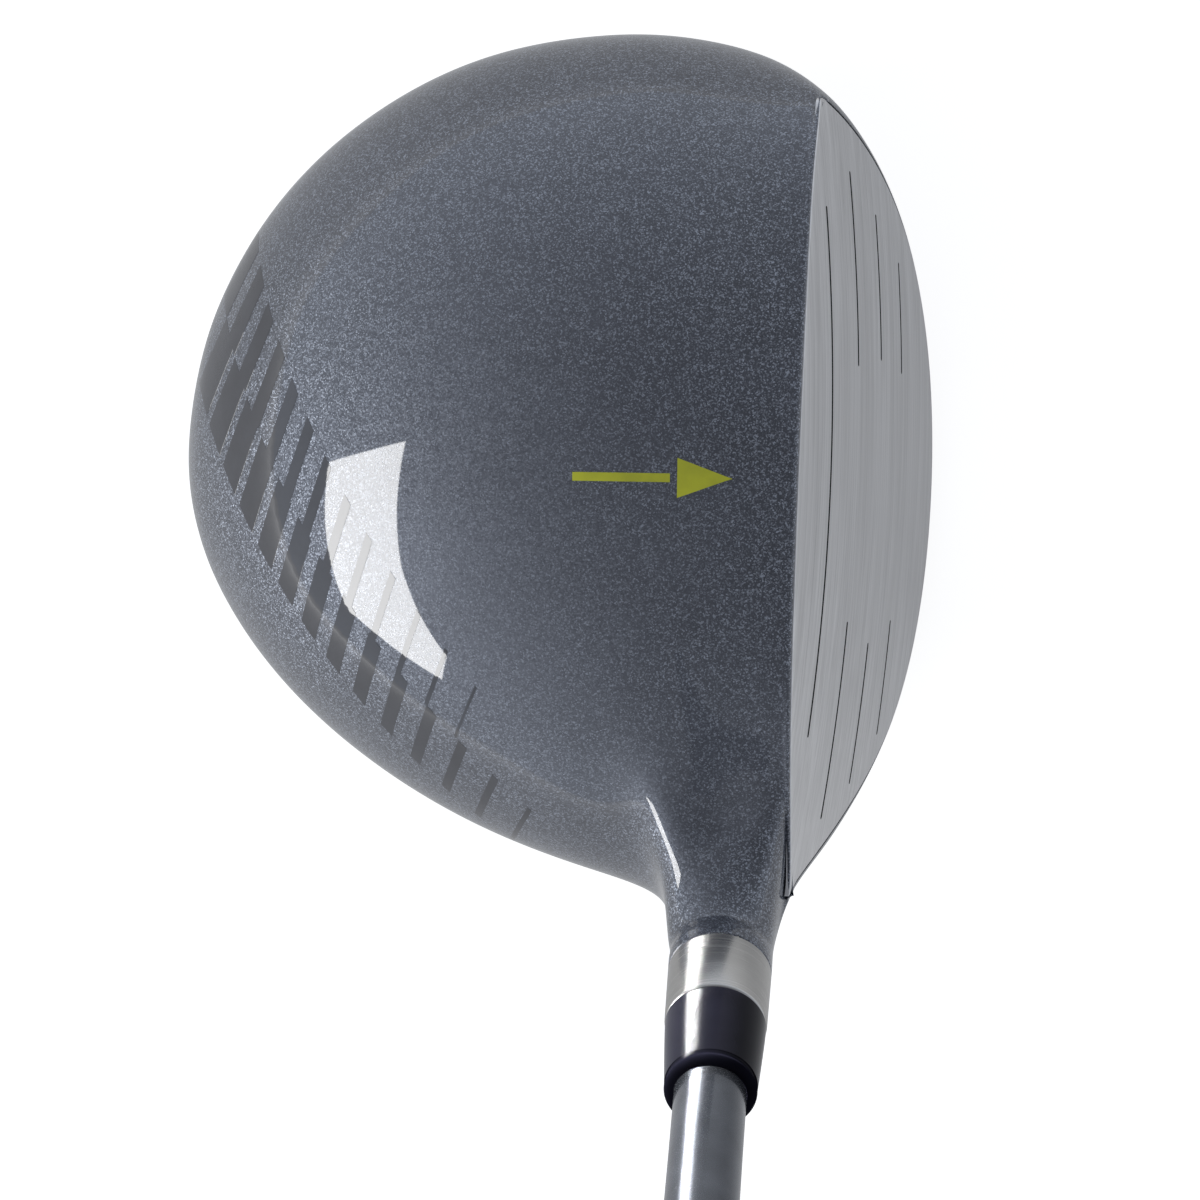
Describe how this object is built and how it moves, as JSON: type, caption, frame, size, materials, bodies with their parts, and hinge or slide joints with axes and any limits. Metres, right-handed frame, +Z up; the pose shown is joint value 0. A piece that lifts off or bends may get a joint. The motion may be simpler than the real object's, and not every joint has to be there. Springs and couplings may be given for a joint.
{
  "type": "golf driver",
  "caption": "Left-handed golf driver: hollow pear-shaped head with a domed face, raised hosel, tapered shaft and rubber grip.",
  "frame": {"origin": "middle of the flat rest pad of the sole, on the ground", "axes": "+X the target direction, out of the face; +Y from heel to toe; +Z up; the shaft rises towards -Y at the lie angle"},
  "size_m": [0.099, 0.7146, 0.965],
  "materials": {
    "crown_paint": "gloss dark grey metal flake under clear coat",
    "sole_metal": "gloss dark grey paint over cast titanium",
    "face_metal": "brushed heel to toe",
    "hosel_metal": "turned and brushed",
    "plug_plastic": "moulded",
    "epoxy": "cured adhesive",
    "ferrule_plastic": "polished black",
    "shaft_paint": "gloss dark grey",
    "brass": "turned",
    "badge_metal": "fine brushed, blank",
    "weight_metal": "turned",
    "hot_melt": "set adhesive",
    "tape": "paper masking tape",
    "grip_rubber": "matt, moulded grooves"
  },
  "bodies": {
    "root": {"crown_shell": "crown_paint", "sole_shell": "sole_metal", "face_plate": "face_metal", "hosel_tube": "hosel_metal", "hosel_bore_plug": "plug_plastic", "bond_sleeve": "epoxy", "ferrule": "ferrule_plastic", "shaft": "shaft_paint", "tip_weight_pin": "brass", "sole_badge": "badge_metal", "weight_port_cup": "weight_metal", "rear_weight_plug": "weight_metal", "hot_melt_pad": "hot_melt", "grip_tape": "tape", "grip_sleeve": "grip_rubber", "grip_cap": "grip_rubber"}
  },
  "joints": []
}
